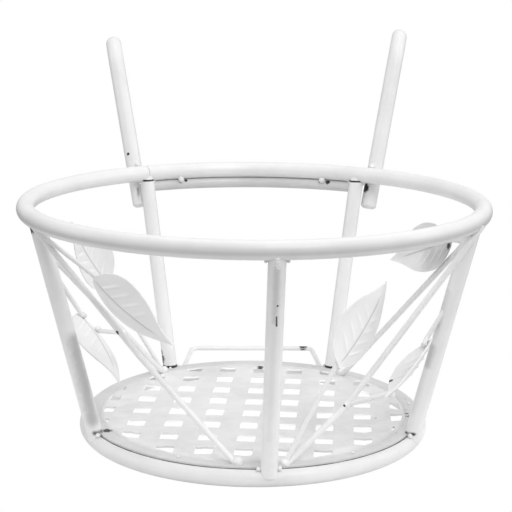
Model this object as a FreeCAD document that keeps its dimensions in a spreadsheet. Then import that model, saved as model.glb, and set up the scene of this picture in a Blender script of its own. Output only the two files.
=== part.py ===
import FreeCAD, Part
import math
import os

import Sketcher

# Hanging flowerpot rack of welded, painted iron: a tube ring that holds the pot, a smaller ring with a
# pressed plate that the pot stands on, five uprights, two rail hooks and wire stems with sheet leaves.
# Millimetres. The origin is on the rings' axis, on the plane the rack stands on; +Z is up, the hooks are
# towards +Y and the front upright towards -Y.

Vector = FreeCAD.Vector

doc = FreeCAD.newDocument("flowerpot_rack")
sheet = doc.addObject("Spreadsheet::Sheet", "sizes")

SIZES = [
    # rings: radius to the middle of the tube
    ("ring_radius", 130.0), ("ring_tube", 10.0), ("ring_height", 134.0),
    ("base_radius", 97.0), ("base_tube", 10.0), ("tube_wall", 1.2), ("seam_angle", 0.12),
    # plate
    ("plate_thickness", 1.0), ("plate_overhang", 0.5), ("rim_width", 9.5), ("hole_size", 10.0),
    ("hole_pitch", 21.5), ("weave_turn", -4.8), ("weave_shift_x", -0.9), ("weave_shift_y", -10.8),
    # uprights: angles are measured from the front (-Y) or the back (+Y) of the rack
    ("upright_dia", 9.0), ("upright_wall", 1.0), ("foot_outset", 2.5), ("front_angle", 4.0),
    ("side_angle", 64.0), ("back_angle", 32.0),
    # hooks
    ("hook_dia", 10.0), ("hook_extra_lean", 4.57), ("hook_tail", 23.5), ("hook_bend", 22.5),
    ("hook_return", 40.0), ("hook_chamfer", 1.5),
    ("left_hook_angle", 33.0), ("left_hook_rise", 68.0), ("left_hook_toe", 5.0),
    ("right_hook_angle", 35.0), ("right_hook_rise", 74.5), ("right_hook_toe", 7.0),
    # brace under the back of the top ring, spacer wire behind the base
    ("brace_dia", 7.0), ("spacer_dia", 3.0), ("spacer_left_gap", 6.3), ("spacer_right_gap", 4.0),
    ("spacer_left_inset", 6.0), ("spacer_right_inset", 5.0), ("spacer_reach", 51.0),
    # wire stems and leaves
    ("stem_dia", 3.2), ("stalk_dia", 2.6), ("leaf_length", 56.0), ("leaf_width", 27.0), ("leaf_widest", 19.5),
    ("leaf_side", 41.0), ("leaf_taper", 41.0), ("leaf_sheet", 0.8), ("leaf_curl", 118.0), ("leaf_fold", 24.0),
    ("fold_round", 3.0), ("leaf_lap", 5.0), ("wire_bend", 5.0),
    # welds
    ("touch_gap", 0.05), ("crotch_weld", 2.3), ("crotch_offset", 3.4),
    ("stem_weld", 1.1), ("leaf_weld", 0.7), ("tack_weld", 2.2), ("tack_rise", 0.4), ("brace_weld_angle", 21.5),
]
for row, (alias, value) in enumerate(SIZES, 1):
    sheet.set("A%d" % row, alias)
    sheet.set("B%d" % row, str(value))
    sheet.setAlias("B%d" % row, alias)
doc.recompute()

PLATE_HOLES = 9         # rows and columns of holes pressed in the plate
PLATE_TACKS = 6         # tack welds that hold the plate to the base ring

nodes = {}              # what is written out: node name and document object
solids = {}             # filled outer shape of each piece, which its neighbours are fitted to


def size(alias):
    return float(sheet.get(alias))


def bind(item, **expressions):
    for name, text in expressions.items():
        item.setExpression(name, text)


def polar(radius, azimuth, height):
    turn = math.radians(azimuth)
    return Vector(radius * math.cos(turn), radius * math.sin(turn), height)


def at_line(start, end):
    """Placement at start with its Z axis pointing to end."""
    return FreeCAD.Placement(start, FreeCAD.Rotation(Vector(0, 0, 1), end - start))


def at_axes(origin, x_way, z_way):
    return FreeCAD.Placement(origin, FreeCAD.Rotation(x_way, Vector(), z_way, "ZXY"))


def unit(vector):
    return Vector(vector).normalize()


def fitted(name, base, tools):
    """The base cut back to the outside of each neighbouring piece."""
    for number, tool in enumerate(tools, 1):
        cut = doc.addObject("Part::Cut", "%s_fit_%d" % (name, number))
        cut.Base = base
        cut.Tool = tool
        base = cut
    return base


def new_sketch(body, name, role):
    sketch = body.newObject("Sketcher::SketchObject", name)
    plane = [item for item in body.Origin.OriginFeatures if item.Role == role][0]
    sketch.AttachmentSupport = [(plane, "")]
    sketch.MapMode = "FlatFace"
    return sketch


def add_circle(sketch, label, radius_text, x_text=None, y_text=None):
    """Circle with its radius, and where given its middle, driven by the sheet."""
    index = sketch.addGeometry(Part.Circle(Vector(1, 1, 0), Vector(0, 0, 1), 1), False)
    number = sketch.addConstraint(Sketcher.Constraint("Radius", index, 1))
    sketch.renameConstraint(number, label + "_radius")
    sketch.setExpression("Constraints.%s_radius" % label, radius_text)
    if x_text is None:
        sketch.addConstraint(Sketcher.Constraint("Coincident", index, 3, -1, 1))
        return
    for kind, axis, text in (("DistanceX", "x", x_text), ("DistanceY", "y", y_text)):
        number = sketch.addConstraint(Sketcher.Constraint(kind, -1, 1, index, 3, 1))
        sketch.renameConstraint(number, "%s_%s" % (label, axis))
        sketch.setExpression("Constraints.%s_%s" % (label, axis), text)


# Azimuths, counted from +X towards +Y.
FRONT = 270 + size("front_angle")
LEFT = 270 - size("side_angle")
RIGHT = 270 + size("side_angle")
BACK_LEFT = 90 + size("back_angle")
BACK_RIGHT = 90 - size("back_angle")

BASE_HEIGHT = size("base_tube") / 2
PLATE_BOTTOM = size("base_tube") + size("touch_gap")
PLATE_TOP = PLATE_BOTTOM + size("plate_thickness")


# Rings: round tube rolled into a hoop, its two ends meeting in a narrow butt seam.
def tube_ring(name, prefix, height_text, seam_azimuth):
    body = doc.addObject("PartDesign::Body", name)
    sketch = new_sketch(body, name + "_section", "XZ_Plane")
    radius_text = "sizes.%s_radius" % prefix
    add_circle(sketch, "outer", "sizes.%s_tube / 2" % prefix, radius_text, height_text)
    add_circle(sketch, "bore", "sizes.%s_tube / 2 - sizes.tube_wall" % prefix, radius_text, height_text)
    hoop = body.newObject("PartDesign::Revolution", name + "_hoop")
    hoop.Profile = sketch
    hoop.ReferenceAxis = (sketch, ["V_Axis"])
    bind(hoop, Angle="360 - sizes.seam_angle")
    body.Placement = FreeCAD.Placement(Vector(), FreeCAD.Rotation(Vector(0, 0, 1), seam_azimuth))
    filled = doc.addObject("Part::Torus", name + "_filled")
    bind(filled, Radius1=radius_text, Radius2="sizes.%s_tube / 2" % prefix)
    bind(filled, **{"Placement.Base.z": height_text})
    nodes[name] = body
    solids[name] = filled


tube_ring("top_ring", "ring", "sizes.ring_height", BACK_LEFT)
tube_ring("base_ring", "base", "sizes.base_tube / 2", BACK_RIGHT)

# Base plate: thin sheet with a square grid of pressed holes inside a plain rim; it lies on the base ring.
PLATE_EDGE = "sizes.base_radius + sizes.plate_overhang"
plate = doc.addObject("PartDesign::Body", "base_plate")
bind(plate, **{"Placement.Base.z": "sizes.base_tube + sizes.touch_gap"})
disc_sketch = new_sketch(plate, "plate_disc_outline", "XY_Plane")
add_circle(disc_sketch, "rim", PLATE_EDGE)
disc = plate.newObject("PartDesign::Pad", "plate_disc")
disc.Profile = disc_sketch
bind(disc, Length="sizes.plate_thickness")

hole_sketch = new_sketch(plate, "plate_hole_outline", "XY_Plane")
hole_turn = FreeCAD.Rotation(Vector(0, 0, 1), size("weave_turn"))
hole_middle = Vector(size("weave_shift_x"), size("weave_shift_y"), size("plate_thickness"))
hole_sketch.AttachmentOffset = FreeCAD.Placement(hole_middle, hole_turn)
grid_reach = (PLATE_HOLES - 1) / 2 * size("hole_pitch")
low, high = -grid_reach - size("hole_size") / 2, -grid_reach + size("hole_size") / 2
corners = [Vector(low, low, 0), Vector(high, low, 0), Vector(high, high, 0), Vector(low, high, 0)]
for start, end in zip(corners, corners[1:] + corners[:1]):
    hole_sketch.addGeometry(Part.LineSegment(start, end), False)
for number in range(4):
    hole_sketch.addConstraint(Sketcher.Constraint("Coincident", number, 2, (number + 1) % 4, 1))
    hole_sketch.addConstraint(Sketcher.Constraint("Vertical" if number % 2 else "Horizontal", number))
corner_text = "-(%d * sizes.hole_pitch + sizes.hole_size) / 2" % (PLATE_HOLES - 1)
for kind, label in (("DistanceX", "corner_x"), ("DistanceY", "corner_y")):
    number = hole_sketch.addConstraint(Sketcher.Constraint(kind, -1, 1, 0, 1, low))
    hole_sketch.renameConstraint(number, label)
    hole_sketch.setExpression("Constraints." + label, corner_text)
for kind, line, label in (("DistanceX", 0, "width"), ("DistanceY", 1, "depth")):
    number = hole_sketch.addConstraint(Sketcher.Constraint(kind, line, 1, line, 2, size("hole_size")))
    hole_sketch.renameConstraint(number, label)
    hole_sketch.setExpression("Constraints." + label, "sizes.hole_size")
hole = plate.newObject("PartDesign::Pocket", "plate_hole")
hole.Profile = hole_sketch
bind(hole, Length="sizes.plate_thickness * 2")
doc.recompute()
holes = plate.newObject("PartDesign::MultiTransform", "plate_holes")
holes.Originals = [hole]
patterns = []
for label, axis in (("columns", "H_Axis"), ("rows", "V_Axis")):
    pattern = plate.newObject("PartDesign::LinearPattern", "plate_hole_" + label)
    pattern.Direction = (hole_sketch, [axis])
    pattern.Occurrences = PLATE_HOLES
    bind(pattern, Length="%d * sizes.hole_pitch" % (PLATE_HOLES - 1))
    patterns.append(pattern)
holes.Transformations = patterns
plate.Tip = holes
doc.recompute()
rim_sketch = new_sketch(plate, "plate_rim_outline", "XY_Plane")
add_circle(rim_sketch, "rim", PLATE_EDGE)
add_circle(rim_sketch, "weave", PLATE_EDGE + " - sizes.rim_width")
rim = plate.newObject("PartDesign::Pad", "plate_rim")
rim.Profile = rim_sketch
bind(rim, Length="sizes.plate_thickness")
nodes["base_plate"] = plate

plate_filled = doc.addObject("Part::Cylinder", "base_plate_filled")
bind(plate_filled, Radius=PLATE_EDGE, Height="sizes.base_tube + sizes.touch_gap + sizes.plate_thickness")
solids["base_plate"] = plate_filled


# Uprights: straight tube, leaning outwards, its ends coped to the two rings and the plate's rim.
def upright_head(azimuth):
    return polar(size("ring_radius"), azimuth, size("ring_height"))


def upright_foot(azimuth):
    return polar(size("base_radius") + size("foot_outset"), azimuth, PLATE_TOP)


FOOT_SINK = 4.0         # how far the tube is left below the plate's top before its end is coped


def upright(name, azimuth):
    head, foot = upright_head(azimuth), upright_foot(azimuth)
    start = foot - unit(head - foot) * FOOT_SINK
    filled = doc.addObject("Part::Cylinder", name + "_filled")
    bore = doc.addObject("Part::Cylinder", name + "_bore")
    bind(filled, Radius="sizes.upright_dia / 2")
    bind(bore, Radius="sizes.upright_dia / 2 - sizes.upright_wall")
    for item in (filled, bore):
        item.Height = (head - start).Length
        item.Placement = at_line(start, head)
    nodes[name] = fitted(name, filled, [bore, solids["top_ring"], solids["base_ring"], plate_filled])
    solids[name] = filled


UPRIGHTS = [("front_upright", FRONT), ("left_upright", LEFT), ("right_upright", RIGHT),
            ("back_left_upright", BACK_LEFT), ("back_right_upright", BACK_RIGHT)]
for name, azimuth in UPRIGHTS:
    upright(name, azimuth)


# Hooks: solid rod that stands against the outside of the top ring and is bent over to the back in a half
# circle; the two ends are chamfered.
FLAT = 1e-4             # mm; an edge no higher than this lies level in the hook's own frame
ROUND_SLACK = 1e-2      # mm; how far the length of an end's edge may be from the rod's girth


def hook_frame(side, prefix):
    """Where the hook meets the ring, the way its leg runs and the way it is bent."""
    azimuth = 90 - side * size(prefix + "_angle")
    rise = upright_head(azimuth) - upright_foot(azimuth)
    lean = rise.getAngle(Vector(0, 0, 1)) + math.radians(size("hook_extra_lean"))
    outward = polar(1, azimuth, 0)
    leg = outward * math.sin(lean) + Vector(0, 0, math.cos(lean))
    back = polar(1, 90 - side * size(prefix + "_toe"), 0)
    bend = unit(back - leg * back.dot(leg))
    reach = (size("ring_tube") + size("hook_dia")) / 2 + size("touch_gap")
    middle = outward * (size("ring_radius") + reach / math.cos(lean)) + Vector(0, 0, size("ring_height"))
    return middle, leg, bend


def hook(side, prefix):
    middle, leg, bend = hook_frame(side, prefix)
    body = doc.addObject("PartDesign::Body", prefix)
    body.Placement = at_axes(middle, bend, leg)
    path = new_sketch(body, prefix + "_path", "XZ_Plane")
    tail, rise, radius = size("hook_tail"), size(prefix + "_rise"), size("hook_bend")
    end = rise - size("hook_return")
    path.addGeometry(Part.LineSegment(Vector(0, -tail, 0), Vector(0, rise, 0)), False)
    crown = Part.Circle(Vector(radius, rise, 0), Vector(0, 0, 1), radius)
    path.addGeometry(Part.ArcOfCircle(crown, 0, math.pi), False)
    path.addGeometry(Part.LineSegment(Vector(2 * radius, rise, 0), Vector(2 * radius, end, 0)), False)
    path.addConstraint(Sketcher.Constraint("PointOnObject", 0, 1, -2))
    path.addConstraint(Sketcher.Constraint("Tangent", 0, 2, 1, 2))
    path.addConstraint(Sketcher.Constraint("Tangent", 1, 1, 2, 1))
    path.addConstraint(Sketcher.Constraint("Vertical", 0))
    path.addConstraint(Sketcher.Constraint("Vertical", 2))
    for constraint, label, text in (
        (Sketcher.Constraint("DistanceY", 0, 1, -1, 1, tail), "tail", "sizes.hook_tail"),
        (Sketcher.Constraint("DistanceY", -1, 1, 0, 2, rise), "rise", "sizes.%s_rise" % prefix),
        (Sketcher.Constraint("Radius", 1, radius), "bend", "sizes.hook_bend"),
        (Sketcher.Constraint("DistanceY", 2, 2, 2, 1, rise - end), "back_leg", "sizes.hook_return"),
    ):
        number = path.addConstraint(constraint)
        path.renameConstraint(number, label)
        path.setExpression("Constraints." + label, text)
    section = new_sketch(body, prefix + "_section", "XY_Plane")
    section.AttachmentOffset = FreeCAD.Placement(Vector(0, 0, -tail), FreeCAD.Rotation())
    add_circle(section, "rod", "sizes.hook_dia / 2")
    rod = body.newObject("PartDesign::AdditivePipe", prefix + "_rod")
    rod.Profile = section
    rod.Spine = (path, ["Edge1", "Edge2", "Edge3"])
    doc.recompute()
    ends = []
    for number, edge in enumerate(rod.Shape.Edges, 1):
        box = edge.BoundBox
        full_round = abs(edge.Length - math.pi * size("hook_dia")) < ROUND_SLACK
        if full_round and box.ZLength < FLAT and box.ZMax < rise - size("hook_chamfer"):
            ends.append("Edge%d" % number)
    chamfer = body.newObject("PartDesign::Chamfer", prefix + "_ends")
    chamfer.Base = (rod, ends)
    bind(chamfer, Size="sizes.hook_chamfer")
    nodes[prefix] = body
    solids[prefix] = body


hook(-1, "left_hook")
hook(1, "right_hook")

# Brace: rod bent to the ring's curve and welded under its back, between the two back uprights.
brace_height = size("ring_height") - (size("ring_tube") + size("brace_dia")) / 2 - size("touch_gap")
brace_rod = doc.addObject("Part::Torus", "back_brace_rod")
bind(brace_rod, Radius1="sizes.ring_radius", Radius2="sizes.brace_dia / 2", Angle3="2 * sizes.back_angle")
brace_rod.Placement = FreeCAD.Placement(
    Vector(0, 0, brace_height), FreeCAD.Rotation(Vector(0, 0, 1), BACK_RIGHT))
back_uprights = [solids["back_left_upright"], solids["back_right_upright"]]
nodes["back_brace"] = fitted("back_brace", brace_rod, back_uprights)
solids["back_brace"] = nodes["back_brace"]


# Wire pieces: round wire, straight or bent in one plane with a round bend at each corner.
LEAST_BEND = 3.0        # degrees; a slighter bend is left straight


def bent_path(sketch, points):
    start = points[0]
    for before, corner, after in zip(points, points[1:], points[2:]):
        come, leave = unit(corner - before), unit(after - corner)
        turn = come.getAngle(leave)
        trim = size("wire_bend") * math.tan(turn / 2)
        inward = unit(leave - come)
        crown = corner + inward * (size("wire_bend") * (1 / math.cos(turn / 2) - 1))
        sketch.addGeometry(Part.LineSegment(start, corner - come * trim), False)
        sketch.addGeometry(Part.Arc(corner - come * trim, crown, corner + leave * trim), False)
        start = corner + leave * trim
    sketch.addGeometry(Part.LineSegment(start, points[-1]), False)


def wire(name, places, dia):
    points = [places[0]]
    for place, following in zip(places[1:], places[2:]):
        if math.degrees((place - points[-1]).getAngle(following - place)) >= LEAST_BEND:
            points.append(place)
    points.append(places[-1])
    radius_text = "sizes.%s / 2" % dia
    if len(points) == 2:
        rod = doc.addObject("Part::Cylinder", name + "_wire")
        bind(rod, Radius=radius_text)
        rod.Height = (points[1] - points[0]).Length
        rod.Placement = at_line(points[0], points[1])
        return rod
    along = unit(points[1] - points[0])
    side = points[2] - points[1]
    side = unit(side - along * side.dot(along))
    body = doc.addObject("PartDesign::Body", name + "_wire")
    body.Placement = at_axes(points[0], side, along)
    path = new_sketch(body, name + "_path", "XZ_Plane")
    offsets = [point - points[0] for point in points]
    bent_path(path, [Vector(offset.dot(side), offset.dot(along), 0) for offset in offsets])
    section = new_sketch(body, name + "_section", "XY_Plane")
    add_circle(section, "wire", radius_text)
    pipe = body.newObject("PartDesign::AdditivePipe", name + "_pipe")
    pipe.Profile = section
    pipe.Spine = (path, ["Edge%d" % number for number in range(1, path.GeometryCount + 1)])
    doc.recompute()
    return body


# Spacer: wire bow behind the base that keeps the hanging rack off the railing.
def spacer_foot(side, gap):
    """Place on the base ring, so far along it from the back upright of that side."""
    from_back = size("back_angle") - math.degrees(gap / size("base_radius"))
    return polar(size("base_radius"), 90 - side * from_back, BASE_HEIGHT)


spacer_back = size("base_radius") + size("spacer_reach")
left_foot = spacer_foot(-1, size("spacer_left_gap"))
right_foot = spacer_foot(1, size("spacer_right_gap"))
left_corner = Vector(left_foot.x + size("spacer_left_inset"), spacer_back, BASE_HEIGHT)
right_corner = Vector(right_foot.x - size("spacer_right_inset"), spacer_back, BASE_HEIGHT)
spacer_wire = wire("rear_spacer", [left_foot, left_corner, right_corner, right_foot], "spacer_dia")
nodes["rear_spacer"] = fitted("rear_spacer", spacer_wire, [solids["base_ring"]])
solids["rear_spacer"] = nodes["rear_spacer"]

# Leaf: cut from sheet, blunt at the base and drawn out to a point, bowed along its length and folded along
# the middle; every leaf has the same form.
length, widest, half = size("leaf_length"), size("leaf_widest"), size("leaf_width") / 2
fold_slope = math.tan(math.radians(size("leaf_fold")))
bow_drop = math.sqrt(size("leaf_curl") ** 2 - (length / 2) ** 2)


def leaf_height(x, y):
    """Height of the sheet over the line from the leaf's base to its tip."""
    bow = math.sqrt(size("leaf_curl") ** 2 - (x - length / 2) ** 2) - bow_drop
    return bow - fold_slope * (math.hypot(y, size("fold_round")) - size("fold_round"))


def arc_by_way(start, way, end):
    """Arc that leaves start in the given direction and goes to end."""
    chord = end - start
    turn = math.atan2(way.x * chord.y - way.y * chord.x, way.dot(chord))
    across = Vector(-chord.y, chord.x, 0) * (-math.tan(turn / 2) / 2)
    return Part.Arc(start, start + chord / 2 + across, end)


outline = doc.addObject("Sketcher::SketchObject", "leaf_outline")
taper = size("leaf_taper") - widest
side_drop = math.sqrt(size("leaf_side") ** 2 - taper ** 2)
base_point, tip_point = Vector(0, 0, 0), Vector(length, 0, 0)
for side in (1, -1):
    wide_point = Vector(widest, side * half, 0)
    taper_point = Vector(size("leaf_taper"), side * (half - size("leaf_side") + side_drop), 0)
    taper_way = Vector(side_drop, -side * taper, 0)
    outline.addGeometry(arc_by_way(wide_point, Vector(-1, 0, 0), base_point), False)
    outline.addGeometry(arc_by_way(wide_point, Vector(1, 0, 0), taper_point), False)
    outline.addGeometry(arc_by_way(taper_point, taper_way, tip_point), False)
blank = doc.addObject("Part::Extrusion", "leaf_blank")
blank.Base = outline
blank.DirMode = "Normal"
blank.Solid = True
blank.Symmetric = True
bind(blank, LengthFwd="sizes.leaf_length")

LEAF_ROWS = 9           # places along and across the sheet that its bowed form is drawn through
SHEET_MARGIN = 3.0      # how far the sheet runs past the outline before it is cut out
rows = []
for step in range(LEAF_ROWS):
    x = -SHEET_MARGIN + (length + 2 * SHEET_MARGIN) * step / (LEAF_ROWS - 1)
    reach = half + SHEET_MARGIN
    across = [-reach + 2 * reach * place / (LEAF_ROWS - 1) for place in range(LEAF_ROWS)]
    rows.append([Vector(x, y, leaf_height(x, y) - size("leaf_sheet") / 2) for y in across])
bowed = Part.BSplineSurface()
bowed.interpolate(rows)
sheet_face = doc.addObject("Part::Feature", "leaf_sheet_face")
sheet_face.Shape = bowed.toShape()
sheet_metal = doc.addObject("Part::Extrusion", "leaf_sheet_metal")
sheet_metal.Base = sheet_face
sheet_metal.DirMode = "Custom"
sheet_metal.Dir = Vector(0, 0, 1)
bind(sheet_metal, LengthFwd="sizes.leaf_sheet")
leaf_form = doc.addObject("Part::Common", "leaf_form")
leaf_form.Base = blank
leaf_form.Tool = sheet_metal
doc.recompute()


def panel_axes(base_azimuth, head_azimuth):
    """Directions along a panel between two uprights, up it and outwards from it."""
    base_foot, head_foot = upright_foot(base_azimuth), upright_foot(head_azimuth)
    along = unit(head_foot - base_foot)
    rise = unit(upright_head(base_azimuth) - base_foot + upright_head(head_azimuth) - head_foot)
    outward = along.cross(rise)
    if outward.dot(base_foot) < 0:
        outward = -outward
    return along, rise, outward


def panel_point(base_azimuth, head_azimuth, along, up, out):
    """Place in the flat panel between two uprights: shares along and up it, and mm outwards from it."""
    base_foot, head_foot = upright_foot(base_azimuth), upright_foot(head_azimuth)
    near = base_foot + (upright_head(base_azimuth) - base_foot) * up
    far = head_foot + (upright_head(head_azimuth) - head_foot) * up
    return near + (far - near) * along + panel_axes(base_azimuth, head_azimuth)[2] * out


PANELS = {"front_right": (FRONT, RIGHT), "back_left": (BACK_LEFT, LEFT),
          "back_right": (BACK_RIGHT, RIGHT), "front_left": (FRONT, LEFT)}

# Leaves: panel, place of the base, place the tip points to, and the way the fold faces: along, up and out of
# the panel.
LEAVES = {
    "front_right_leaf": ("front_right", (0.386, 0.419, -1.4), (0.718, 0.707, -18.5), (0.10, 0.33, 0.94)),
    "front_left_leaf": ("front_left", (0.763, 0.791, 5.7), (0.420, 0.545, 7.6), (0.10, -0.08, 0.99)),
    "back_left_leaf": ("back_left", (0.555, 0.575, 0), (0.735, 0.90, 0), (-0.66, -0.48, 0.58)),
    "back_right_leaf": ("back_right", (0.92, 0.90, -3.2), (0.640, 0.712, -14.5), (-0.30, 0.13, 0.95)),
    "left_twig_leaf": ("back_left", (0.775, 0.508, 7.4), (1.014, 0.227, -23.2), (-0.05, 0.63, -0.77)),
    "right_twig_leaf": ("front_right", (0.925, 0.459, 0), (0.51, 0.365, 23.5), (0.47, -0.60, 0.65)),
}
for name, (panel, base, tip, facing) in LEAVES.items():
    base_place = panel_point(*PANELS[panel], *base)
    along = unit(panel_point(*PANELS[panel], *tip) - base_place)
    face = Vector()
    for share, axis in zip(facing, panel_axes(*PANELS[panel])):
        face += axis * share
    leaf = doc.addObject("Part::Compound", name)
    leaf.Links = [leaf_form]
    leaf.Placement = at_axes(base_place, along, face - along * face.dot(along))
    nodes[name] = leaf
    solids[name] = leaf

# Stems: wire between the foot of one upright and the top of the next, some with a bend where a twig forks
# off.
STEMS = {
    "front_right_stem": ("front_right", [(0.085, -0.02, 0), (0.46, 0.231, 1), (1.012, 1.0, 4.8)]),
    "back_left_stem": ("back_left", [(0.084, -0.02, 0), (0.511, 0.325, 0), (1.0, 0.876, 0)]),
    "back_right_stem": ("back_right", [(0.12, -0.02, 0), (0.657, 0.498, 0), (1.0, 0.935, 0)]),
    "front_left_stem": ("front_left", [(0.105, -0.045, 3), (0.62, 0.44, 3), (1.0, 1.0, 4.8)]),
}
stem_points = {}
for name, (panel, places) in STEMS.items():
    points = [panel_point(*PANELS[panel], *place) for place in places]
    stem_points[name] = points
    swept = wire(name, points, "stem_dia")
    ends = [item for item, azimuth in UPRIGHTS if azimuth in PANELS[panel]]
    near = ["top_ring", "base_ring", "base_plate"] + ends
    nodes[name] = fitted(name, swept, [solids[item] for item in near])
    solids[name] = swept

# Stalks and twigs: thinner wire that carries a leaf; a stalk lies along the back of the leaf's base, or on its
# face, and a twig ends on the leaf's middle line.
STALK_REST = (size("leaf_sheet") + size("stalk_dia")) / 2 * math.hypot(1, fold_slope) + size("touch_gap")
FACE_REST = (size("leaf_sheet") + size("stalk_dia")) / 2 + size("touch_gap")
HELD_BY_FACE = ["left_twig_leaf"]
TWIG_REST = size("leaf_sheet") / 2 + size("stalk_dia") / 4
TWIG_STEPS = 200        # how finely the twig's end is looked for
TWIG_BEAD_LIFT = 1.2    # how far off the twig's end the middle of its bead lies, away from the leaf


def leaf_place(name, distance, depth=0.0):
    """Place on a leaf's middle line, so far from its base and so deep behind the middle of the sheet."""
    slope = (distance - length / 2) / size("leaf_curl")
    outward = Vector(slope, 0, math.sqrt(1 - slope ** 2))
    place = Vector(length / 2, 0, -bow_drop) + outward * (size("leaf_curl") - depth)
    return nodes[name].Placement.multVec(place)


def stalk_depth(leaf):
    return -FACE_REST if leaf in HELD_BY_FACE else STALK_REST


def stalk(name, start, leaf, neighbours):
    depth = stalk_depth(leaf)
    points = [start, leaf_place(leaf, 0, depth), leaf_place(leaf, size("leaf_lap"), depth)]
    rod = wire(name, points, "stalk_dia")
    nodes[name] = fitted(name, rod, [solids[item] for item in neighbours])
    solids[name] = rod


def twig_side(start, leaf):
    """1 where a wire from start comes to the leaf's back, -1 where it comes to its face."""
    local = nodes[leaf].Placement.inverse().multVec(start)
    return 1 if local.z < leaf_height(local.x, local.y) else -1


def on_leaf(place):
    """Whether a place in a leaf's own frame is over the leaf, whose sides are taken as straight."""
    widest = size("leaf_widest")
    share = place.x / widest if place.x < widest else (length - place.x) / (length - widest)
    return abs(place.y) < half * share


def meets_leaf(start, leaf, distance):
    """Where a wire from start towards the leaf's middle line first comes to the leaf's sheet."""
    target = leaf_place(leaf, distance, twig_side(start, leaf) * TWIG_REST)
    to_leaf = nodes[leaf].Placement.inverse()
    for step in range(1, TWIG_STEPS):
        place = start + (target - start) * (step / TWIG_STEPS)
        local = to_leaf.multVec(place)
        if on_leaf(local) and abs(local.z - leaf_height(local.x, local.y)) < TWIG_REST:
            return place
    return target


twig_ends = {}


def twig(name, start, leaf, distance, neighbours):
    twig_ends[name] = meets_leaf(start, leaf, distance)
    rod = wire(name, [start, twig_ends[name]], "stalk_dia")
    nodes[name] = fitted(name, rod, [solids[item] for item in neighbours + [leaf]])
    solids[name] = rod


STALK_SHARE = 0.94      # how far up a stem's upper run a stalk branches off
LEFT_TWIG_RISE = 0.80   # how far up the left upright the stalk of the left twig's leaf starts
RIGHT_TWIG_RISE = 0.66  # and the same on the right
LEFT_TWIG_END = 0.32 * length     # where the left twig meets its leaf, from the leaf's base
RIGHT_TWIG_END = 0.84 * length    # where the right twig meets its leaf
TWIGS = [("left_twig", "back_left_stem", "left_twig_leaf", LEFT_TWIG_END),
         ("right_twig", "front_right_stem", "right_twig_leaf", RIGHT_TWIG_END)]


def near_stem_top(stem):
    bend, top = stem_points[stem][1:]
    return bend + (top - bend) * STALK_SHARE


front_right, back_left = PANELS["front_right"], PANELS["back_left"]
stalk("front_right_stalk", stem_points["front_right_stem"][0], "front_right_leaf",
      ["base_ring", "base_plate", "front_upright", "front_right_stem"])
stalk("back_left_stalk", stem_points["back_left_stem"][0], "back_left_leaf",
      ["base_ring", "base_plate", "back_left_upright", "back_left_stem"])
stalk("front_left_stalk", near_stem_top("front_left_stem"), "front_left_leaf",
      ["top_ring", "left_upright", "front_left_stem"])
stalk("back_right_stalk", near_stem_top("back_right_stem"), "back_right_leaf",
      ["top_ring", "right_upright", "back_right_stem"])
stalk("left_twig_stalk", panel_point(*back_left, 1.0, LEFT_TWIG_RISE, 0), "left_twig_leaf",
      ["left_upright", "back_left_stem"])
stalk("right_twig_stalk", panel_point(*front_right, 1.0, RIGHT_TWIG_RISE, 0), "right_twig_leaf",
      ["right_upright", "front_right_stem"])
for name, stem, leaf, distance in TWIGS:
    twig(name, stem_points[stem][1], leaf, distance, [stem])


# Welds: small beads run where two pieces meet, each fitted to the pieces round it.
def bead(name, middle, radius, neighbours):
    ball = doc.addObject("Part::Sphere", name)
    ball.Radius = radius
    ball.Placement.Base = middle
    made = fitted(name, ball, [solids[item] for item in neighbours])
    solids[name] = made
    return made


def weld_group(name, beads):
    group = doc.addObject("Part::Compound", name)
    group.Links = beads
    nodes[name] = group


hook_beads = []
for side, prefix, back_upright in ((-1, "left_hook", "back_left_upright"),
                                   (1, "right_hook", "back_right_upright")):
    middle, leg, bend = hook_frame(side, prefix)
    inward = unit(Vector(-middle.x, -middle.y, 0))
    contact = middle + unit(inward - leg * inward.dot(leg)) * (size("hook_dia") + size("touch_gap")) / 2
    across = inward.cross(Vector(0, 0, 1))
    for label, way in (("upper", leg), ("near", across), ("far", -across)):
        spot = contact + way * size("crotch_offset")
        hook_beads.append(bead("%s_%s_bead" % (prefix, label), spot, size("crotch_weld"),
                               ["top_ring", prefix, back_upright]))
weld_group("hook_welds", hook_beads)

brace_beads = []
for label, azimuth in (("left", 90 + size("brace_weld_angle")), ("right", 90 - size("brace_weld_angle"))):
    crotch_height = size("ring_height") - size("ring_tube") / 2
    spot = polar(size("ring_radius") - size("crotch_offset"), azimuth, crotch_height)
    brace_beads.append(bead("brace_%s_bead" % label, spot, size("crotch_weld"), ["top_ring", "back_brace"]))
weld_group("brace_welds", brace_beads)

stem_bead_radius = size("stem_dia") / 2 + size("stem_weld")
stem_beads = [
    bead("right_fork_bead", stem_points["front_right_stem"][1], stem_bead_radius,
         ["front_right_stem", "right_twig"]),
    bead("left_fork_bead", stem_points["back_left_stem"][1], stem_bead_radius,
         ["back_left_stem", "left_twig"]),
]
FEET = [
    ("front_right_stem", ["front_right_stalk", "front_upright"]),
    ("back_left_stem", ["back_left_stalk", "back_left_upright"]),
    ("back_right_stem", ["back_right_upright"]),
    ("front_left_stem", ["front_upright"]),
]
doc.recompute()
for name, near in FEET:
    start, bend = stem_points[name][:2]
    lift = nodes[name].Shape.BoundBox.ZMin + size("stem_weld") - start.z
    spot = start + (bend - start) * (lift / (bend.z - start.z))
    stem_beads.append(bead(name + "_foot_bead", spot, stem_bead_radius + size("stem_weld"),
                           ["base_ring", "base_plate", name] + near))
weld_group("stem_welds", stem_beads)

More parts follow.
